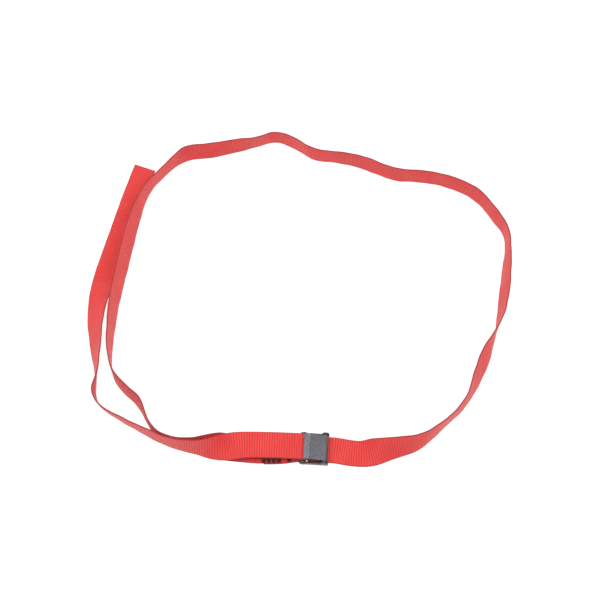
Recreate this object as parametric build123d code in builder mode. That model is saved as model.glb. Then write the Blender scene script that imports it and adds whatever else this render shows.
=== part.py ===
from build123d import *
import os
from math import ceil, cos, degrees, hypot, radians, sin, tan

os.makedirs("parts", exist_ok=True)

# Luggage strap: one length of flat webbing sewn to a cam buckle and pulled back through it.
# Origin: middle of the buckle's footprint, on the surface that it lies on.
# +X runs along the webbing towards the loop side of the buckle, +Z is up.

# ---- driving dimensions, mm ----
strap_width = 25.0
strap_thickness = 1.4
slot_clearance = 0.5                    # each side of the webbing in the buckle
sheet = 1.5                             # side wall of the pressed frame
base_thickness = 1.2
frame_half_length = 13.5
wall_height = 5.0

bar_x = -10.0                           # rod that the sewn end goes round
bar_z = 3.5
bar_radius = 1.75
bar_neck_radius = 1.3
bar_head_radius = 2.1

pivot_x = 10.0                          # pin that the cam lever turns on
pivot_z = 5.6
pin_radius = 1.5
pin_head_radius = 2.4
head_height = 0.7

lever_width = 24.5
barrel_radius = 2.7
barrel_bore = 1.6
spring_pocket = 2.9                     # length of pin left free for the spring
spring_radius = 1.95
wire_radius = 0.25
spring_turns = 4

inner_half = strap_width / 2 + slot_clearance
outer_half = inner_half + sheet
lever_half = lever_width / 2

# The webbing's route from its sewn end to its cut end: x, y, z of its middle, and its lean
# about its own length in degrees: 0 lies flat, 90 stands on its edge, above 90 leans outwards.
route = [
    # folded end, round the bar and back over itself
    (-46, -7.8, 0.8, 0), (-35, -6.4, 0.8, 0), (-24, -3.8, 0.8, 0), (-15, -0.1, 0.8, 0),
    (-7.4, -0.1, 0.8, 0), (-7.4, -0.1, 6.2, 0), (-12.6, -0.1, 6.2, 0),
    (-19, -1.1, 2.6, 0), (-32, -5.8, 2.3, 0), (-52, -8.3, 2.2, 0),
    # under the tail, turning up on its edge
    (-68, -8.6, 1.6, 3), (-84, -9.2, 3.9, 15), (-98, -10.6, 10.7, 55), (-114, -13.8, 12.5, 74),
    (-131, -13.3, 12.8, 83), (-147, -8.8, 12.8, 88), (-158, 4, 12.8, 86), (-168, 20.5, 12.8, 80),
    (-184, 30.4, 12.7, 80), (-199.7, 43.3, 12.7, 82), (-208.8, 63.3, 12.8, 89),
    # up the left side
    (-214, 92, 12.8, 96), (-218, 124, 12.6, 101), (-219, 160, 12.4, 104), (-220, 200, 12.2, 106),
    (-219, 234, 12.6, 100), (-214.6, 262, 12.8, 86), (-202.6, 284.0, 12.6, 79), (-192.2, 301.4, 12.5, 77),
    # across the far side
    (-180.4, 314.4, 12.7, 82), (-156, 319.6, 12.8, 86), (-130, 330.3, 12.8, 84), (-106, 339.2, 12.6, 76),
    (-88, 350.9, 12.6, 79), (-64, 343.4, 12.4, 76), (-42, 329.6, 12.6, 76), (-16, 331.3, 12.6, 77),
    (12, 327.6, 12.8, 84), (49, 313.4, 12.8, 83), (74, 316.8, 12.8, 85), (104, 315, 12.8, 84),
    (138, 302.6, 12.8, 86), (157.6, 277, 12.8, 88), (171.8, 256, 12.8, 91),
    # down the right side
    (172.4, 222, 12.6, 103), (169.8, 180, 12.6, 104), (165.6, 146, 12.9, 94), (154, 113, 12.2, 68),
    (146.2, 86, 12.0, 62), (135.6, 59.2, 12.8, 80), (114.4, 34.6, 12.9, 86), (95.4, 15.9, 12.8, 76),
    (77, 7.7, 12.3, 64), (60.5, 3.2, 9.6, 44), (46, 1.2, 2.3, 4), (33, 1.0, 1.1, 0),
    # through the buckle and over the sewn fold
    (20, 0.2, 2.1, 0), (10, 0, 2.05, 0), (-2.6, 0, 2.0, 0), (-8.6, 0, 8.8, 0),
    # the tail, lying on the loop and then beside it
    (-22, -1.6, 8.8, 0), (-46, -4.0, 8.8, 0), (-67, -6.6, 8.6, 2), (-82, -11.6, 9.8, 30),
    (-97, -15.4, 12.0, 60), (-114, -16.2, 12.8, 76), (-134, -14.9, 12.8, 84),
    (-158, -7.2, 12.8, 90), (-184, 2.2, 12.8, 96), (-203.8, 10.4, 12.8, 97), (-215.4, 22.5, 12.9, 88),
    (-215.6, 42.5, 12.8, 76), (-223.8, 70, 11.8, 58), (-232.6, 102.5, 9.6, 40), (-236.5, 134, 5.2, 20),
    (-236, 164, 1.0, 0), (-233, 208, 0.9, 0), (-230, 260, 0.9, 0), (-226, 298.3, 0.9, 0),
]
turn = radians(-4.0)                    # how far the laid webbing is turned about the buckle
straight_run = 20.5                     # route points nearer than this keep in line with the buckle
arc_share = 0.45                        # part of the shorter run that a corner's arc takes
arc_step = 15.0                         # degrees of bend between two sections

# stitches that close the folded end, as rows along the webbing
stitch_length = 2.4
stitch_width = 0.6
stitch_height = 0.5
stitch_pitch = 3.2
stitches_per_row = 7
stitch_rows = 4
row_spacing = 6.0
seam_start_x = -41.0
seam_z = 2.95
seam_slope = 0.10                       # sideways drift of the seam per mm along X


# ---- buckle frame: base plate, two side walls and the ears that hold bar and pin ----
with BuildPart() as buckle_frame:
    with BuildSketch(Plane.XY):
        with Locations((frame_half_length - 9.5, 0)):
            Rectangle(19, 2 * outer_half)
        fillet(vertices().group_by(Axis.X)[-1], 1.2)
    extrude(amount=base_thickness)
    for side in (-1, 1):
        near_face = -side * inner_half
        with BuildSketch(Plane.XZ.offset(near_face)):
            with Locations(((bar_x + pivot_x) / 2, wall_height / 2)):
                Rectangle(pivot_x - bar_x, wall_height)
            with Locations((bar_x, bar_z)):
                Circle(frame_half_length + bar_x)
            with Locations((pivot_x, pivot_z)):
                Circle(frame_half_length - pivot_x)
            with Locations((pivot_x, pivot_z / 2)):
                Rectangle(2 * (frame_half_length - pivot_x), pivot_z)
            with Locations((bar_x, bar_z)):
                Circle(bar_neck_radius, mode=Mode.SUBTRACT)
            with Locations((pivot_x, pivot_z)):
                Circle(pin_radius, mode=Mode.SUBTRACT)
        extrude(amount=-side * sheet)
buckle_frame.part.label = "buckle_frame"
export_step(buckle_frame.part, "parts/buckle_frame.step")


def riveted_rod(x, z, radius, neck, head):
    """A rod across the frame with a neck in each wall and a head outside each wall."""
    with BuildPart() as rod:
        with BuildSketch(Plane.XZ.offset(-inner_half)):
            with Locations((x, z)):
                Circle(radius)
        extrude(amount=2 * inner_half)
        with BuildSketch(Plane.XZ.offset(-outer_half)):
            with Locations((x, z)):
                Circle(neck)
        extrude(amount=2 * outer_half)
        for outward in (-1, 1):
            with BuildSketch(Plane.XZ.offset(outward * outer_half)):
                with Locations((x, z)):
                    Circle(head)
            extrude(amount=outward * head_height)
            fillet(faces().sort_by(Axis.Y)[0 if outward > 0 else -1].edges(), 0.4)
    return rod


anchor_bar = riveted_rod(bar_x, bar_z, bar_radius, bar_neck_radius, bar_head_radius)
anchor_bar.part.label = "anchor_bar"
export_step(anchor_bar.part, "parts/anchor_bar.step")

cam_pin = riveted_rod(pivot_x, pivot_z, pin_radius, pin_radius, pin_head_radius)
cam_pin.part.label = "cam_pin"
export_step(cam_pin.part, "parts/cam_pin.step")


# ---- cam lever: barrel on the pin, toothed nose over the webbing, curved thumb plate ----
with BuildPart() as cam_lever:
    with BuildSketch(Plane.XZ.offset(-lever_half)):
        with BuildLine():
            Polyline((pivot_x, pivot_z), (7.6, 6.6), (-0.8, 9.4))
            ThreePointArc((-0.8, 9.4), (-5.7, 10.4), (-9.3, 9.5))
            Line((-9.3, 9.5), (-9.8, 10.6))
            ThreePointArc((-9.8, 10.6), (-5.8, 11.7), (-0.4, 10.8))
            Polyline((-0.4, 10.8), (pivot_x, 8.3), (pivot_x, pivot_z))
        make_face()
        with BuildLine():
            # three teeth that bite when the loop side pulls
            Polyline((4.6, 7.2), (4.8, 4.4), (5.5, 3.0), (6.1, 3.6), (6.6, 2.85), (7.2, 3.5),
                     (7.7, 2.85), (8.3, 3.6), (pivot_x, pivot_z), (4.6, 7.2))
        make_face()
        with Locations((pivot_x, pivot_z)):
            Circle(barrel_radius)
            Circle(barrel_bore, mode=Mode.SUBTRACT)
    extrude(amount=lever_width)
    # room for the spring at the front end of the barrel
    with BuildSketch(Plane.XZ.offset(lever_half)):
        with Locations((pivot_x, pivot_z)):
            Circle(spring_radius + wire_radius + 0.25)
    extrude(amount=-spring_pocket, mode=Mode.SUBTRACT)
    tip_corners = edges().filter_by(lambda e: e.center().X < -9.4 and e.length < 2)
    fillet(tip_corners, 1.6)
cam_lever.part.label = "cam_lever"
export_step(cam_lever.part, "parts/cam_lever.step")


# ---- torsion spring round the pin, between the frame's wall and the barrel ----
with BuildPart() as cam_spring:
    coil_length = spring_pocket - 2 * wire_radius - 0.5
    coil_start = -lever_half + wire_radius + 0.2
    coil_foot = (pivot_x, coil_start, pivot_z)
    with BuildLine():
        coil = Helix(coil_length / spring_turns, coil_length, spring_radius, coil_foot, (0, 1, 0))
    with BuildSketch(Plane(origin=coil @ 0, z_dir=coil % 0)):
        Circle(wire_radius)
    sweep(path=coil, is_frenet=True)
cam_spring.part.label = "cam_spring"
export_step(cam_spring.part, "parts/cam_spring.step")


# ---- webbing ----
def corner_radii(points):
    """Radius of each corner's arc: as large as its two runs allow."""
    radii = []
    for before, corner, after in zip(points, points[1:], points[2:]):
        run_in = corner - before
        run_out = after - corner
        half_turn = radians(run_in.get_angle(run_out)) / 2
        radii.append(arc_share * min(run_in.length, run_out.length) / tan(half_turn))
    return radii


def lean_at(position, marks):
    """Lean of the webbing at a point of its path, between the two nearest route points."""
    for (start, lean_start), (end, lean_end) in zip(marks, marks[1:]):
        if position <= end:
            share = (position - start) / (end - start)
            return lean_start + share * (lean_end - lean_start)
    return marks[-1][1]


def laid(x, y, z):
    """A route point where it lies, turned about the buckle unless it is in or beside it."""
    if hypot(x, y) < straight_run:
        return Vector(x, y, z)
    return Vector(x * cos(turn) - y * sin(turn), x * sin(turn) + y * cos(turn), z)


points = [laid(x, y, z) for x, y, z, lean in route]
leans = [lean for x, y, z, lean in route]
radii = corner_radii(points)
with BuildLine() as strap_path:
    FilletPolyline(*points, radius=radii)
pieces = strap_path.wire().order_edges()

# middle of the arc at each route point, as a distance along the path
marks = [(0.0, leans[0])]
travelled = 0.0
arcs = 0
for piece in pieces:
    if piece.geom_type == GeomType.CIRCLE:
        arcs += 1
        marks.append((travelled + piece.length / 2, leans[arcs]))
    travelled += piece.length
marks.append((travelled, leans[-1]))

# stations: both ends of each straight run, and steps round each arc
stations = []
travelled = 0.0
for piece in pieces:
    steps = 1
    if piece.geom_type == GeomType.CIRCLE:
        steps = max(2, ceil(degrees(piece.length / piece.radius) / arc_step))
    for step in range(steps):
        share = step / steps
        stations.append((piece @ share, piece % share, travelled + share * piece.length))
    travelled += piece.length
stations.append((pieces[-1] @ 1, pieces[-1] % 1, travelled))

across = Vector(0, 1, 0)                # from the strap's outer edge to its inner edge
with BuildPart() as webbing:
    for middle, along, position in stations:
        level = Vector(0, 0, 1).cross(along)
        if level.length < 0.3:          # the fold at the bar runs straight up
            level = across - along * across.dot(along)
        level = level.normalized()
        if level.dot(across) < 0:
            level = -level
        across = level
        lean = radians(lean_at(position, marks))
        width_way = level * cos(lean) + Vector(0, 0, 1) * sin(lean)
        width_way = (width_way - along * width_way.dot(along)).normalized()
        with BuildSketch(Plane(origin=middle, x_dir=width_way, z_dir=along)):
            Rectangle(strap_width, strap_thickness)
    loft(ruled=True)
webbing.part.label = "webbing"
export_step(webbing.part, "parts/webbing.step")

print("lowest point", round(webbing.part.bounding_box().min.Z, 3))
print("webbing length", round(travelled, 1), "mm in", len(points), "points")
print("arc radii", [round(radius, 1) for radius in radii])
swept = strap_width * strap_thickness * travelled
print("volume", round(webbing.part.volume), "section times length", round(swept))


# ---- rows of stitches through the two layers of the sewn end ----
with BuildPart() as anchor_stitching:
    for row in range(stitch_rows):
        row_y = (row - (stitch_rows - 1) / 2) * row_spacing
        for stitch in range(stitches_per_row):
            stitch_x = seam_start_x + stitch * stitch_pitch
            drift = stitch_x * seam_slope
            with Locations((stitch_x, row_y + drift, seam_z)):
                Box(stitch_length, stitch_width, stitch_height)
anchor_stitching.part.label = "anchor_stitching"
export_step(anchor_stitching.part, "parts/anchor_stitching.step")
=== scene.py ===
import math

import bpy
import numpy as np
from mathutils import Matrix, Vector


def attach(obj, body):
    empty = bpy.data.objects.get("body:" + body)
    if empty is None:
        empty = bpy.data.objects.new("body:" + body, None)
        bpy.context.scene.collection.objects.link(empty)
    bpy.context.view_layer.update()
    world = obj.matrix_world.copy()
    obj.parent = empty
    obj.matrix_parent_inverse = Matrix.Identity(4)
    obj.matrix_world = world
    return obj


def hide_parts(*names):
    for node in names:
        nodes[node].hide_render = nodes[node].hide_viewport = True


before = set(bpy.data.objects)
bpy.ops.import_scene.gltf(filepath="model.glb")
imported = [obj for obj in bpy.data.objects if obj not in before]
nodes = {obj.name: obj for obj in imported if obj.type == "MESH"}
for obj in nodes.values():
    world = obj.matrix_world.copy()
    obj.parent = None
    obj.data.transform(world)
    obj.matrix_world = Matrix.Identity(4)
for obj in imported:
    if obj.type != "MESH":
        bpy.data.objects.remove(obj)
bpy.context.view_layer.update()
print("frame loaded:", ", ".join(sorted(nodes)))

strap = {
    "width": 0.025,
    "thickness": 0.0014,
    "ribPitch": 0.0023,
    "ribHeight": 0.00026,
    "ringsPerRib": 7,
    "ribPower": 2.4,            # how flat the top of a rib is
    "plainEdge": 0.0009,        # selvedge without ribs
    # steps in from the edge, each with its share of half the thickness
    "edgeRound": ((0.0, 0.0), (0.00013, 0.62), (0.0005, 0.96), (0.0012, 1.0)),
    "lineSteps": 60,            # points read from the spline for each of its control points
    "cutSlant": 7.5,            # degrees that the cut at the tail is out of square
    "meltLength": 0.0012,       # heat-sealed band at each cut
    "ripple": 0.00016,          # unevenness of webbing that nothing holds flat
    "rippleWaves": ((0.0049, 1.3, 1.0), (0.0027, 0.4, 0.6)),    # length, shift and size
    "foldHolds": (0.10, 0.16),  # distances from the sewn end between which the ripple sets in
    "buckleHolds": (0.05, 0.12),
    "foldedRun": (0.055, 0.10),     # distances between which the sewn end lies back over itself
    "throughRun": (1.0, 1.5),       # distances between which the webbing passes the buckle again
    "floorGap": 0.00003,        # left between the webbing and the floor
    "ribRise": 0.6,             # share of a rib's height that stands above the plain surface
    "slantReach": 0.012,        # length over which rings turn from square to the slant of the cut
    "turn": -4.0,               # degrees that the laid webbing is turned about the buckle
    "straightRun": 0.0205,      # route points nearer than this keep in line with the buckle
}

# The webbing's route in metres, from its sewn end to its cut end and before it is turned.
# Each point is x, y, z and a lean in degrees, where 0 lies flat and 90 stands on its edge.
route = [
    # folded end, round the bar and back over itself
    (-0.046, -0.0078, 0.0008, 0), (-0.035, -0.0064, 0.0008, 0), (-0.024, -0.0038, 0.0008, 0),
    (-0.015, -0.0001, 0.0008, 0), (-0.0074, -0.0001, 0.0008, 0), (-0.0074, -0.0001, 0.0062, 0),
    (-0.0126, -0.0001, 0.0062, 0), (-0.019, -0.0011, 0.0026, 0), (-0.032, -0.0058, 0.0023, 0),
    (-0.052, -0.0083, 0.0022, 0),
    # under the tail, turning up on its edge
    (-0.068, -0.0086, 0.0016, 3), (-0.084, -0.0092, 0.0039, 15), (-0.098, -0.0106, 0.0115, 65),
    (-0.114, -0.0136, 0.0128, 86), (-0.131, -0.0131, 0.0128, 89), (-0.147, -0.0088, 0.0128, 88),
    (-0.158, 0.004, 0.0128, 86), (-0.168, 0.0205, 0.0128, 80), (-0.184, 0.0304, 0.0128, 83),
    (-0.1997, 0.0433, 0.0128, 84), (-0.2088, 0.0633, 0.0128, 89),
    # up the left side
    (-0.214, 0.092, 0.0128, 96), (-0.218, 0.124, 0.0126, 101), (-0.219, 0.16, 0.0124, 104),
    (-0.22, 0.2, 0.0122, 106), (-0.219, 0.234, 0.0126, 100), (-0.2146, 0.262, 0.0128, 86),
    (-0.2026, 0.284, 0.0126, 79), (-0.1926, 0.3016, 0.0127, 84),
    # across the far side
    (-0.1808, 0.3150, 0.0128, 93), (-0.156, 0.3200, 0.0128, 92), (-0.13, 0.3306, 0.0128, 88),
    (-0.106, 0.3392, 0.0126, 76), (-0.088, 0.3509, 0.0126, 79), (-0.064, 0.3434, 0.0127, 83),
    (-0.042, 0.3293, 0.0127, 83), (-0.016, 0.3305, 0.0127, 81), (0.012, 0.3276, 0.0128, 87),
    (0.049, 0.3139, 0.0128, 86), (0.074, 0.3168, 0.0128, 85), (0.104, 0.315, 0.0128, 84),
    (0.138, 0.3026, 0.0128, 86), (0.1576, 0.277, 0.0128, 88), (0.1724, 0.256, 0.0128, 85),
    # down the right side
    (0.172, 0.222, 0.0127, 99), (0.1698, 0.18, 0.0125, 106), (0.1656, 0.146, 0.0129, 94),
    (0.1536, 0.1125, 0.0119, 61), (0.1454, 0.0865, 0.0122, 68), (0.136, 0.0588, 0.0129, 86),
    (0.1152, 0.0338, 0.0129, 90), (0.0962, 0.0156, 0.0127, 73), (0.077, 0.0092, 0.0119, 59),
    (0.0605, 0.0044, 0.0094, 42), (0.046, 0.0016, 0.0012, 0), (0.033, 0.001, 0.0011, 0),
    # through the buckle and over the sewn fold
    (0.02, 0.0002, 0.0021, 0), (0.01, 0, 0.00205, 0), (-0.0026, 0, 0.002, 0),
    (-0.0086, 0, 0.0088, 0),
    # the tail, lying on the loop and then beside it
    (-0.022, -0.0016, 0.0088, 0), (-0.046, -0.004, 0.0088, 0), (-0.067, -0.0066, 0.0086, 2),
    (-0.082, -0.0116, 0.0098, 30), (-0.097, -0.0154, 0.0121, 64), (-0.114, -0.0162, 0.0128, 82),
    (-0.134, -0.0149, 0.0128, 87), (-0.158, -0.0072, 0.0128, 90), (-0.184, 0.0022, 0.0128, 96),
    (-0.2038, 0.0104, 0.0128, 97), (-0.2146, 0.0225, 0.0129, 88), (-0.2148, 0.0425, 0.0128, 76),
    (-0.2232, 0.07, 0.0118, 57), (-0.2326, 0.1025, 0.0096, 40), (-0.2365, 0.134, 0.0052, 20),
    (-0.236, 0.164, 0.001, 0), (-0.233, 0.208, 0.0009, 0), (-0.23, 0.26, 0.0009, 0),
    (-0.226, 0.2983, 0.0009, 0),
]

# the line that the webbing follows, read from a spline through the route
def readSpline(name, places):
    curve = bpy.data.curves.new(name, "CURVE")
    curve.dimensions = "3D"
    spline = curve.splines.new("NURBS")
    spline.points.add(len(places) - 1)
    for point, place in zip(spline.points, places):
        point.co = (*place, 1)
    spline.order_u = 3
    spline.use_endpoint_u = True
    spline.resolution_u = curve.resolution_u = strap["lineSteps"]
    holder = bpy.data.objects.new(name, curve)
    mesh = bpy.data.meshes.new_from_object(holder)
    line = np.array([vertex.co for vertex in mesh.vertices])
    bpy.data.objects.remove(holder)
    bpy.data.curves.remove(curve)
    bpy.data.meshes.remove(mesh)
    return line


def unit(vectors):
    return vectors / np.linalg.norm(vectors, axis=-1, keepdims=True)


def laid(x, y, z):
    # a route point where it lies, turned about the buckle unless it is in or beside it
    if math.hypot(x, y) < strap["straightRun"]:
        return (x, y, z)
    turn = math.radians(strap["turn"])
    return (x * math.cos(turn) - y * math.sin(turn), x * math.sin(turn) + y * math.cos(turn), z)


def followRoute():
    middle = readSpline("strapLine", [laid(*point[:3]) for point in route])
    leans = readSpline("strapLean", [(point[3], 0, 0) for point in route])[:, 0]
    distance = np.concatenate([[0], np.cumsum(np.linalg.norm(np.diff(middle, axis=0), axis=1))])
    along = unit(np.gradient(middle, axis=0))
    across = np.zeros_like(along)
    upward = np.array((0.0, 0.0, 1.0))
    level = np.array((0.0, 1.0, 0.0))       # from the outer edge to the inner edge, kept level
    for index, (heading, lean) in enumerate(zip(along, np.radians(leans))):
        sideways = np.cross(upward, heading)
        if np.linalg.norm(sideways) < 0.3:      # the folds at the bar run straight up
            sideways = level - heading * heading.dot(level)
        sideways = unit(sideways)
        level = sideways if sideways.dot(level) > 0 else -sideways
        widthWay = level * math.cos(lean) + upward * math.sin(lean)
        across[index] = unit(widthWay - heading * heading.dot(widthWay))
    return {"distance": distance, "middle": middle, "along": along, "across": across,
            "normal": np.cross(along, across), "length": distance[-1]}


def between(field, distance):
    values = [np.interp(distance, path["distance"], path[field][:, axis]) for axis in range(3)]
    return np.stack(values, axis=-1)


def onStrap(distance, sideways, height):
    # places on the webbing, from the distance along it, sideways from its middle and above it
    place = between("middle", distance)
    place = place + unit(between("across", distance)) * np.expand_dims(sideways, -1)
    return place + unit(between("normal", distance)) * np.expand_dims(height, -1)


def distanceAt(x, low, high):
    # where the webbing passes an x, between two distances along it
    inside = (path["distance"] > low) & (path["distance"] < high)
    nearest = np.argmin(np.abs(path["middle"][inside, 0] - x))
    return path["distance"][inside][nearest]


path = followRoute()
print("webbing follows", len(route), "route points for", round(path["length"], 4), "m")


# the webbing is a ribbon of rings, and its ribs are pushed out across it afterwards
def smoothStep(values, start, end):
    share = np.clip((values - start) / (end - start), 0, 1)
    return share * share * (3 - 2 * share)


def ringOutline():
    # sideways and height of each vertex of one ring, and 1 on the side that faces down at first
    half = strap["width"] / 2
    flat = strap["thickness"] / 2 - strap["ribRise"] * strap["ribHeight"]
    edge = [(half - inset, share * flat) for inset, share in strap["edgeRound"]]
    upper = edge + [(0.0, flat)] + [(-sideways, height) for sideways, height in reversed(edge)]
    lower = [(sideways, -height) for sideways, height in reversed(upper[1:-1])]
    outline = np.array(upper + lower)
    under = np.array([0.5 - 0.5 * np.sign(round(height, 7)) for sideways, height in outline])
    return outline, under


def makeRibbon():
    outline, under = ringOutline()
    ringSize = len(outline)
    ringStep = strap["ribPitch"] / strap["ringsPerRib"]
    ringCount = int(path["length"] / ringStep) + 1
    stations = np.linspace(0, path["length"], ringCount)[:, None]
    sideways = np.broadcast_to(outline[:, 0], (ringCount, ringSize))
    height = np.broadcast_to(outline[:, 1], (ringCount, ringSize))

    # the far cut is slanted, and both cuts are sealed to a rounded edge
    toEnd = path["length"] - stations
    slant = math.tan(math.radians(strap["cutSlant"])) * sideways
    distance = stations - (slant + slant.max()) * (1 - smoothStep(toEnd, 0, strap["slantReach"]))
    toCut = np.minimum(toEnd, stations)
    melt = 1 - smoothStep(toCut, 0.3 * strap["meltLength"], strap["meltLength"])
    sealed = np.sqrt(np.clip(toCut / (0.4 * strap["meltLength"]), 0.02, 1))
    height = height * sealed * (1 + 0.1 * melt)

    # a slight ripple wherever the webbing isn't held by the buckle, the seam or a layer above it
    held = smoothStep(stations, *strap["foldHolds"])
    held = held * smoothStep(np.abs(stations - buckleDistance), *strap["buckleHolds"])
    wave = sum(size * np.sin(stations / length + shift) for length, shift, size in strap["rippleWaves"])
    twist = sideways / strap["width"] * 2
    height = height + strap["ripple"] * held * wave * twist
    places = onStrap(np.clip(distance, 0, path["length"]), sideways, height)
    lowest = strap["floorGap"] + strap["ribRise"] * strap["ribHeight"]
    places[..., 2] = np.maximum(places[..., 2], lowest)

    mesh = bpy.data.meshes.new("webbingRibbon")
    first = np.arange(ringCount - 1)[:, None] * ringSize
    column = np.arange(ringSize)
    nextColumn = np.roll(column, -1)
    quads = np.stack([first + column, first + nextColumn, first + ringSize + nextColumn,
                      first + ringSize + column], axis=-1).reshape(-1, 4)
    caps = [tuple(column[::-1]), tuple((ringCount - 1) * ringSize + column)]
    mesh.from_pydata(places.reshape(-1, 3), [], [tuple(quad) for quad in quads.tolist()] + caps)
    marks = {"along": distance, "sideways": sideways, "melt": np.broadcast_to(melt, sideways.shape),
             "under": np.broadcast_to(under, sideways.shape)}
    for name, values in marks.items():
        attribute = mesh.attributes.new(name, "FLOAT", "POINT")
        attribute.data.foreach_set("value", values.astype(np.float32).ravel())
    corners = np.zeros(len(mesh.loops), np.int32)
    mesh.loops.foreach_get("vertex_index", corners)
    weave = np.stack([distance.ravel()[corners], sideways.ravel()[corners]], axis=-1)
    mesh.uv_layers.new(name="weave").data.foreach_set("uv", weave.astype(np.float32).ravel())
    mesh.shade_smooth()
    ribbon = bpy.data.objects.new("webbing_strap", mesh)
    bpy.context.collection.objects.link(ribbon)
    return ribbon


# small helpers for node trees
def join(tree, value, socket):
    if isinstance(value, bpy.types.NodeSocket):
        tree.links.new(value, socket)
    else:
        socket.default_value = value


def calc(tree, operation, *values):
    node = tree.nodes.new("ShaderNodeMath")
    node.operation = operation
    for value, socket in zip(values, node.inputs):
        join(tree, value, socket)
    return node.outputs[0]


def ramp(tree, value, start, end, low=0.0, high=1.0):
    node = tree.nodes.new("ShaderNodeMapRange")
    node.interpolation_type = "SMOOTHSTEP"
    for socket, given in zip(node.inputs, (value, start, end, low, high)):
        join(tree, given, socket)
    return node.outputs[0]


def newTree(name, inputs):
    tree = bpy.data.node_groups.new(name, "GeometryNodeTree")
    tree.interface.new_socket("Geometry", in_out="OUTPUT", socket_type="NodeSocketGeometry")
    for label, kind in {"Geometry": "Geometry", **inputs, "Material": "Material"}.items():
        tree.interface.new_socket(label, in_out="INPUT", socket_type="NodeSocket" + kind)
    return tree, tree.nodes.new("NodeGroupInput").outputs


def closeTree(tree, geometry, given):
    realize = tree.nodes.new("GeometryNodeRealizeInstances")
    paint = tree.nodes.new("GeometryNodeSetMaterial")
    output = tree.nodes.new("NodeGroupOutput")
    tree.links.new(geometry, realize.inputs[0])
    tree.links.new(realize.outputs[0], paint.inputs["Geometry"])
    tree.links.new(given["Material"], paint.inputs["Material"])
    tree.links.new(paint.outputs[0], output.inputs[0])


def runTree(piece, tree, values):
    modifier = piece.modifiers.new(tree.name, "NODES")
    modifier.node_group = tree
    for item in tree.interface.items_tree:
        if item.in_out == "INPUT" and item.name in values:
            modifier[item.identifier] = values[item.name]
    depsgraph = bpy.context.evaluated_depsgraph_get()
    made = piece.evaluated_get(depsgraph)
    mesh = bpy.data.meshes.new_from_object(made, preserve_all_data_layers=True, depsgraph=depsgraph)
    piece.modifiers.clear()
    piece.data = mesh
    print(piece.name, "has", len(mesh.polygons), "faces")


def readMark(tree, name, kind="FLOAT"):
    node = tree.nodes.new("GeometryNodeInputNamedAttribute")
    node.data_type = kind
    node.inputs["Name"].default_value = name
    return node.outputs["Attribute"]


def ribTree():
    tree, given = newTree("webbingRibs", {"Rib pitch": "Float", "Rib height": "Float",
                                          "Half width": "Float", "Plain edge": "Float"})
    phase = calc(tree, "FRACT", calc(tree, "DIVIDE", readMark(tree, "along"), given["Rib pitch"]))
    bow = calc(tree, "ABSOLUTE", calc(tree, "MULTIPLY_ADD", phase, 2.0, -1.0))
    crown = calc(tree, "SUBTRACT", strap["ribRise"], calc(tree, "POWER", bow, strap["ribPower"]))
    reach = calc(tree, "ABSOLUTE", readMark(tree, "sideways"))
    inner = calc(tree, "SUBTRACT", given["Half width"], given["Plain edge"])
    ribbed = ramp(tree, reach, given["Half width"], inner)
    woven = calc(tree, "SUBTRACT", 1.0, readMark(tree, "melt"))
    rise = calc(tree, "MULTIPLY", calc(tree, "MULTIPLY", crown, given["Rib height"]),
                calc(tree, "MULTIPLY", ribbed, woven))
    push = tree.nodes.new("ShaderNodeVectorMath")
    push.operation = "SCALE"
    tree.links.new(tree.nodes.new("GeometryNodeInputNormal").outputs[0], push.inputs[0])
    tree.links.new(rise, push.inputs["Scale"])
    shift = tree.nodes.new("GeometryNodeSetPosition")
    tree.links.new(given["Geometry"], shift.inputs["Geometry"])
    tree.links.new(push.outputs[0], shift.inputs["Offset"])
    closeTree(tree, shift.outputs[0], given)
    return tree


def newMaterial(name, settings):
    material = bpy.data.materials.new(name)
    material.use_nodes = True
    shader = material.node_tree.nodes["Principled BSDF"]
    for socket, value in settings.items():
        shader.inputs[socket].default_value = value
    return material, material.node_tree, shader


def blendColour(tree, share, first, second):
    node = tree.nodes.new("ShaderNodeMix")
    node.data_type = "RGBA"
    for value, socket in zip((share, first, second), (node.inputs[0], node.inputs[6], node.inputs[7])):
        join(tree, value, socket)
    return node.outputs[2]


def noise(tree, place, scale, detail=3.0):
    node = tree.nodes.new("ShaderNodeTexNoise")
    node.inputs["Scale"].default_value = scale
    node.inputs["Detail"].default_value = detail
    tree.links.new(place, node.inputs["Vector"])
    return node.outputs[0]


def objectPlace(tree):
    return tree.nodes.new("ShaderNodeTexCoord").outputs["Object"]


def bumpFrom(tree, height, distance, strength=1.0):
    node = tree.nodes.new("ShaderNodeBump")
    node.inputs["Strength"].default_value = strength
    node.inputs["Distance"].default_value = distance
    tree.links.new(height, node.inputs["Height"])
    return node.outputs[0]


weave = {
    "thread": (0.69, 0.036, 0.034, 1),
    "threadPale": (0.76, 0.060, 0.055, 1),
    # painted shade: a darker colour for the valleys between ribs, where shade falls
    "valleyShade": (0.36, 0.008, 0.009, 1),
    # painted shade: a darker colour along both edges of the webbing
    "edgeShade": (0.32, 0.022, 0.026, 1),
    "melted": (0.16, 0.010, 0.012, 1),
    "roughness": 0.72,
    "meltedRoughness": 0.34,
    "fibreScale": 2600.0,
    "patchScale": 55.0,         # broad patches of paler yarn
    "bump": 0.00008,
    "yarnPitch": 0.00062,
    "crownPower": 1.8,          # how flat the shaded top of a rib is
    "yarnPower": 2.0,
    "ink": (0.006, 0.005, 0.006, 1),
    "blockPitch": 0.0044,
    "blockShare": 0.84,
    "markLength": 0.0170,
    "gapLength": 0.0054,
    "tickLength": 0.0034,
    "markInner": 0.0076,
    "markOuter": 0.0119,
    "markEndX": -0.0225,
}


def attributeOf(tree, name):
    node = tree.nodes.new("ShaderNodeAttribute")
    node.attribute_name = name
    return node.outputs["Fac"]


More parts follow.
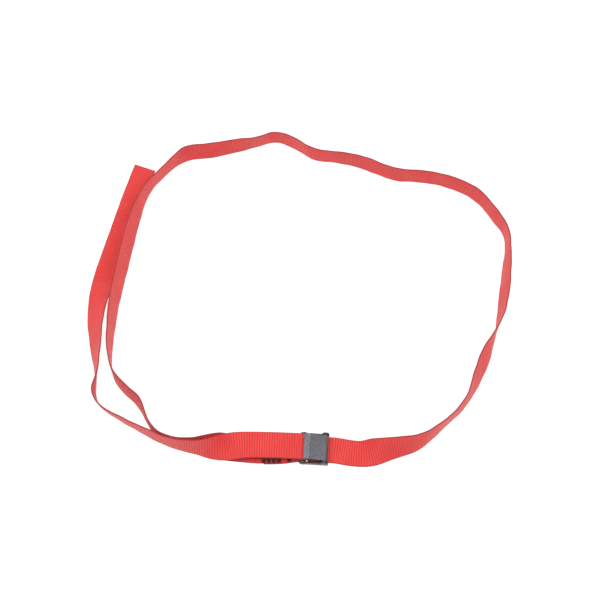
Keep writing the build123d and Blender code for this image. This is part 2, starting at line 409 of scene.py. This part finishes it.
def webbingFinish():
    material, tree, shader = newMaterial("webbingRed", {
        "Specular IOR Level": 0.35, "Sheen Weight": 0.30, "Sheen Roughness": 0.45,
        "Sheen Tint": (1, 0.72, 0.72, 1)})
    spread = tree.nodes.new("ShaderNodeSeparateXYZ")
    layer = tree.nodes.new("ShaderNodeUVMap")
    layer.uv_map = "weave"
    tree.links.new(layer.outputs[0], spread.inputs[0])
    lengthways, sideways = spread.outputs[0], spread.outputs[1]

    # plain weave: every rib is a row of short yarns, set over by half a yarn from the next rib's
    rib = calc(tree, "DIVIDE", lengthways, strap["ribPitch"])
    bow = calc(tree, "ABSOLUTE", calc(tree, "MULTIPLY_ADD", calc(tree, "FRACT", rib), 2.0, -1.0))
    crown = calc(tree, "SUBTRACT", 1.0, calc(tree, "POWER", bow, weave["crownPower"]))
    setOver = calc(tree, "MULTIPLY", calc(tree, "FLOORED_MODULO", calc(tree, "FLOOR", rib), 2.0), 0.5)
    yarn = calc(tree, "ADD", calc(tree, "DIVIDE", sideways, weave["yarnPitch"]), setOver)
    yarnBow = calc(tree, "ABSOLUTE", calc(tree, "MULTIPLY_ADD", calc(tree, "FRACT", yarn), 2.0, -1.0))
    yarnRound = calc(tree, "SUBTRACT", 1.0, calc(tree, "POWER", yarnBow, weave["yarnPower"]))
    fibre = noise(tree, objectPlace(tree), weave["fibreScale"], 2.0)
    patch = noise(tree, objectPlace(tree), weave["patchScale"])

    pale = calc(tree, "MULTIPLY_ADD", patch, 0.5, calc(tree, "MULTIPLY", fibre, 0.5))
    yarnColour = blendColour(tree, ramp(tree, pale, 0.3, 0.7), weave["thread"], weave["threadPale"])
    # painted shade: the colour darkens from the tops of ribs and yarns into the valleys between them
    ribShade = calc(tree, "MULTIPLY_ADD", yarnRound, 0.2, calc(tree, "MULTIPLY", crown, 0.8))
    colour = blendColour(tree, ramp(tree, ribShade, 0.05, 0.70), weave["valleyShade"], yarnColour)
    # painted shade: the colour darkens towards both edges of the webbing, standing in for shade on its
    # edges
    reach = calc(tree, "ABSOLUTE", sideways)
    halfWidth = strap["width"] / 2
    edge = ramp(tree, reach, halfWidth - strap["plainEdge"], halfWidth - 0.4 * strap["plainEdge"])
    colour = blendColour(tree, edge, colour, weave["edgeShade"])
    melt = attributeOf(tree, "melt")
    colour = blendColour(tree, ramp(tree, melt, 0.0, 1.0, 0.0, 0.8), colour, weave["melted"])

    # printed blocks along the outer edge of the sewn end
    reachIn = calc(tree, "SUBTRACT", lengthways, markStart)
    block = calc(tree, "FRACT", calc(tree, "DIVIDE", reachIn, weave["blockPitch"]))
    inBlock = calc(tree, "LESS_THAN", block, weave["blockShare"])
    total = weave["markLength"] + weave["gapLength"] + weave["tickLength"]
    tickOn = calc(tree, "MULTIPLY", calc(tree, "GREATER_THAN", reachIn, 0.0),
                  calc(tree, "LESS_THAN", reachIn, weave["tickLength"]))
    blockStart = weave["tickLength"] + weave["gapLength"]
    blocksOn = calc(tree, "MULTIPLY", calc(tree, "GREATER_THAN", reachIn, blockStart),
                    calc(tree, "LESS_THAN", reachIn, total))
    inked = calc(tree, "ADD", tickOn, calc(tree, "MULTIPLY", blocksOn, inBlock))
    outer = calc(tree, "MULTIPLY", sideways, -1.0)
    inRow = calc(tree, "MULTIPLY", calc(tree, "GREATER_THAN", outer, weave["markInner"]),
                 calc(tree, "LESS_THAN", outer, weave["markOuter"]))
    under = calc(tree, "GREATER_THAN", attributeOf(tree, "under"), 0.75)
    inked = calc(tree, "MULTIPLY", calc(tree, "MULTIPLY", inked, inRow), under)
    colour = blendColour(tree, calc(tree, "MULTIPLY", inked, 0.94), colour, weave["ink"])

    height = calc(tree, "MULTIPLY_ADD", yarnRound, 0.8, calc(tree, "MULTIPLY", fibre, 0.25))
    tree.links.new(colour, shader.inputs["Base Color"])
    rough = ramp(tree, melt, 0.0, 1.0, weave["roughness"], weave["meltedRoughness"])
    tree.links.new(rough, shader.inputs["Roughness"])
    tree.links.new(bumpFrom(tree, height, weave["bump"], 0.7), shader.inputs["Normal"])
    return material


buckleDistance = distanceAt(0.0, *strap["throughRun"])
markStart = distanceAt(weave["markEndX"], *strap["foldedRun"])
print("buckle at", round(buckleDistance, 4), "of", round(path["length"], 4), "m")
webbing = makeRibbon()
webbingRed = webbingFinish()
runTree(webbing, ribTree(), {"Rib pitch": strap["ribPitch"], "Rib height": strap["ribHeight"],
                             "Half width": strap["width"] / 2, "Plain edge": strap["plainEdge"],
                             "Material": webbingRed})


# stitches through the sewn end
seam = {
    "rows": 4,
    "rowSpacing": 0.006,
    "stitches": 9,
    "pitch": 0.0032,
    "length": 0.0025,
    "thread": 0.00026,          # radius
    "startX": -0.0212,
    "sink": 0.00012,            # depth of the stitches' points below the surface
    "dark": (0.42, 0.018, 0.02, 1),
    "pale": (0.70, 0.05, 0.045, 1),
    "plyScale": 1400.0,
}


def stitchTree():
    tree, given = newTree("seamStitches", {"Stitch length": "Float", "Thread radius": "Float"})
    arch = tree.nodes.new("GeometryNodeCurveQuadraticBezier")
    arch.inputs["Resolution"].default_value = 7
    halfLength = calc(tree, "MULTIPLY", given["Stitch length"], 0.5)
    ends = []
    for sign in (-1.0, 1.0):
        corner = tree.nodes.new("ShaderNodeCombineXYZ")
        tree.links.new(calc(tree, "MULTIPLY", halfLength, sign), corner.inputs[0])
        tree.links.new(calc(tree, "MULTIPLY", given["Thread radius"], -1.6), corner.inputs[2])
        ends.append(corner.outputs[0])
    top = tree.nodes.new("ShaderNodeCombineXYZ")
    tree.links.new(calc(tree, "MULTIPLY", given["Thread radius"], 1.9), top.inputs[2])
    for socket, place in zip(("Start", "Middle", "End"), (ends[0], top.outputs[0], ends[1])):
        tree.links.new(place, arch.inputs[socket])
    thread = tree.nodes.new("GeometryNodeCurvePrimitiveCircle")
    thread.inputs["Resolution"].default_value = 8
    tree.links.new(given["Thread radius"], thread.inputs["Radius"])
    solid = tree.nodes.new("GeometryNodeCurveToMesh")
    solid.inputs["Fill Caps"].default_value = True
    tree.links.new(arch.outputs[0], solid.inputs["Curve"])
    tree.links.new(thread.outputs[0], solid.inputs["Profile Curve"])
    turn = tree.nodes.new("FunctionNodeAxesToRotation")
    turn.primary_axis, turn.secondary_axis = "Z", "X"
    tree.links.new(readMark(tree, "upward", "FLOAT_VECTOR"), turn.inputs["Primary Axis"])
    tree.links.new(readMark(tree, "heading", "FLOAT_VECTOR"), turn.inputs["Secondary Axis"])
    place = tree.nodes.new("GeometryNodeInstanceOnPoints")
    tree.links.new(given["Geometry"], place.inputs["Points"])
    tree.links.new(solid.outputs[0], place.inputs["Instance"])
    tree.links.new(turn.outputs[0], place.inputs["Rotation"])
    closeTree(tree, place.outputs[0], given)
    return tree


def makeStitches():
    start = distanceAt(seam["startX"], *strap["foldedRun"])
    rows = (np.arange(seam["rows"]) - (seam["rows"] - 1) / 2) * seam["rowSpacing"]
    steps = start + np.arange(seam["stitches"]) * seam["pitch"]
    sideways, distance = (values.ravel() for values in np.meshgrid(rows, steps))
    top = -(strap["thickness"] / 2 - seam["sink"])
    places = onStrap(distance, sideways, np.full_like(distance, top))
    mesh = bpy.data.meshes.new("seamPoints")
    mesh.from_pydata(places.tolist(), [], [])
    for name, field, sign in (("upward", "normal", -1), ("heading", "along", 1)):
        vectors = sign * unit(between(field, distance))
        mesh.attributes.new(name, "FLOAT_VECTOR", "POINT").data.foreach_set(
            "vector", vectors.astype(np.float32).ravel())
    stitches = bpy.data.objects.new("seam_stitches", mesh)
    bpy.context.collection.objects.link(stitches)
    return stitches


def threadFinish():
    material, tree, shader = newMaterial("threadRed", {
        "Roughness": 0.55, "Sheen Weight": 0.2, "Sheen Roughness": 0.4})
    ply = tree.nodes.new("ShaderNodeTexWave")
    ply.bands_direction = "DIAGONAL"
    ply.inputs["Scale"].default_value = seam["plyScale"]
    ply.inputs["Distortion"].default_value = 0.6
    tree.links.new(objectPlace(tree), ply.inputs["Vector"])
    colour = blendColour(tree, ply.outputs["Fac"], seam["dark"], seam["pale"])
    tree.links.new(colour, shader.inputs["Base Color"])
    tree.links.new(bumpFrom(tree, ply.outputs["Fac"], 0.00005), shader.inputs["Normal"])
    return material


stitches = makeStitches()
runTree(stitches, stitchTree(), {"Stitch length": seam["length"], "Thread radius": seam["thread"],
                                 "Material": threadFinish()})

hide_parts("webbing")
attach(webbing, "buckle")
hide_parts("anchor_stitching")
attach(stitches, "buckle")
lineStep = 4        # every fourth place on the line is enough for the cord's path
lastKept = (len(path["middle"]) - 1) % lineStep
follow = path["middle"][lastKept::lineStep].tolist()
follow[0] = path["middle"][0].tolist()
print("webbing and seam are in place")


# finishes of the buckle, one for each kind of metal
metal = {
    "lever": {"edge": 0.00028, "colour": (0.155, 0.151, 0.172, 1), "dark": (0.122, 0.119, 0.135, 1),
              "metallic": 0.8, "roughness": 0.30, "grain": 900.0},
    "frame": {"edge": 0.00022, "colour": (0.085, 0.085, 0.090, 1), "dark": (0.055, 0.055, 0.060, 1),
              "metallic": 0.75, "roughness": 0.33, "grain": 1200.0},
    "pin": {"edge": 0.00012, "colour": (0.24, 0.205, 0.205, 1), "dark": (0.13, 0.11, 0.11, 1),
            "metallic": 0.95, "roughness": 0.4, "grain": 1600.0},
    "spring": {"edge": 0.0, "colour": (0.52, 0.52, 0.54, 1), "dark": (0.30, 0.30, 0.32, 1),
               "metallic": 1.0, "roughness": 0.3, "grain": 1600.0},
}
cloudScale = 420.0          # lighter and darker patches in every metal
roughSpread = 0.14          # how far the grain carries the roughness up and down


def metalFinish(name, finish):
    material, tree, shader = newMaterial(name, {"Metallic": finish["metallic"]})
    place = objectPlace(tree)
    cloud = noise(tree, place, cloudScale, 4.0)
    grain = noise(tree, place, finish["grain"], 2.0)
    colour = blendColour(tree, ramp(tree, cloud, 0.32, 0.68), finish["dark"], finish["colour"])
    rough = calc(tree, "MULTIPLY_ADD", grain, roughSpread, finish["roughness"] - roughSpread / 2)
    tree.links.new(colour, shader.inputs["Base Color"])
    tree.links.new(rough, shader.inputs["Roughness"])
    tree.links.new(bumpFrom(tree, grain, 0.00002, 0.5), shader.inputs["Normal"])
    return material


def finishNode(node, material, edge):
    piece = nodes[node]
    piece.data.materials.clear()
    piece.data.materials.append(material)
    if edge:
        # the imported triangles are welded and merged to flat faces, so that the bevel finds true edges
        weld = piece.modifiers.new("weld", "WELD")
        weld.merge_threshold = 0.000002
        flatten = piece.modifiers.new("flatten", "DECIMATE")
        flatten.decimate_type = "DISSOLVE"
        flatten.angle_limit = math.radians(0.4)
        bevel = piece.modifiers.new("bevel", "BEVEL")
        bevel.width = edge
        bevel.segments = 3
        bevel.angle_limit = math.radians(40)
        bevel.use_clamp_overlap = True
        weighted = piece.modifiers.new("weighted", "WEIGHTED_NORMAL")
        weighted.keep_sharp = True
    return piece


leverGrey = metalFinish("leverGrey", metal["lever"])
frameBlack = metalFinish("frameBlack", metal["frame"])
pinSteel = metalFinish("pinSteel", metal["pin"])
springSteel = metalFinish("springSteel", metal["spring"])
finishNode("buckle_frame", frameBlack, metal["frame"]["edge"])
finishNode("anchor_bar", frameBlack, metal["pin"]["edge"])
finishNode("cam_pin", pinSteel, metal["pin"]["edge"])
finishNode("cam_lever", leverGrey, metal["lever"]["edge"])
finishNode("cam_spring", springSteel, metal["spring"]["edge"])
print("buckle is finished")


# floor, light and camera
studio = {
    "sky": 0.70,
    "floorHalf": 6.0,
    "floorTone": 0.22,          # low, so that the strap throws hardly any shadow or colour on it
    "floorGlow": 0.93,
    "lookAt": (-0.0231, 0.157, 0.0),
    "distance": 0.866,
    "elevation": 62,
    "azimuth": 3.6,
    "lens": 51,
    "sensorWidth": 36,
    "lamps": {
        "key": {"place": (0.8, -0.1, 1.5), "target": (0, 0.1, 0), "size": (0.6, 0.6), "power": 9},
        "fill": {"place": (-0.9, 0.1, 1.3), "target": (0, 0.1, 0), "size": (0.6, 0.9), "power": 8},
        "strip": {"place": (-0.13, 0.75, 1.35), "target": (0, 0, 0), "size": (0.12, 0.6), "power": 2.4},
    },
}


def makeFloor():
    half = studio["floorHalf"]
    tone = studio["floorTone"]
    mesh = bpy.data.meshes.new("floor")
    mesh.from_pydata([(-half, -half, 0), (half, -half, 0), (half, half, 0), (-half, half, 0)], [],
                     [(0, 1, 2, 3)])
    floor = bpy.data.objects.new("floor", mesh)
    bpy.context.collection.objects.link(floor)
    material = newMaterial("floorWhite", {
        "Base Color": (tone, tone, tone, 1), "Roughness": 0.9, "Specular IOR Level": 0.0,
        "Emission Color": (1, 1, 1, 1), "Emission Strength": studio["floorGlow"]})[0]
    mesh.materials.append(material)


def addSoftbox(name, place, target, size, power):
    light = bpy.data.lights.new(name, "AREA")
    light.shape = "RECTANGLE"
    light.size, light.size_y = size
    light.energy = power
    holder = bpy.data.objects.new(name, light)
    holder.location = place
    holder.rotation_euler = (Vector(target) - Vector(place)).to_track_quat("-Z", "Y").to_euler()
    bpy.context.collection.objects.link(holder)


def makeStudio():
    world = bpy.data.worlds.new("studio")
    world.use_nodes = True
    background = world.node_tree.nodes["Background"]
    background.inputs["Color"].default_value = (1, 1, 1, 1)
    background.inputs["Strength"].default_value = studio["sky"]
    bpy.context.scene.world = world
    bpy.context.scene.view_settings.view_transform = "Standard"
    for name, lamp in studio["lamps"].items():
        addSoftbox(name, lamp["place"], lamp["target"], lamp["size"], lamp["power"])
    makeFloor()


def makeCamera():
    azimuth, elevation = math.radians(studio["azimuth"]), math.radians(studio["elevation"])
    back = Vector((math.sin(azimuth) * math.cos(elevation),
                   -math.cos(azimuth) * math.cos(elevation), math.sin(elevation)))
    camera = bpy.data.objects.new("camera", bpy.data.cameras.new("camera"))
    camera.data.sensor_width = studio["sensorWidth"]
    camera.data.lens = studio["lens"]
    camera.location = Vector(studio["lookAt"]) + back * studio["distance"]
    camera.rotation_euler = (-back).to_track_quat("-Z", "Y").to_euler()
    bpy.context.collection.objects.link(camera)
    bpy.context.scene.camera = camera


makeStudio()
makeCamera()
print("studio is set")
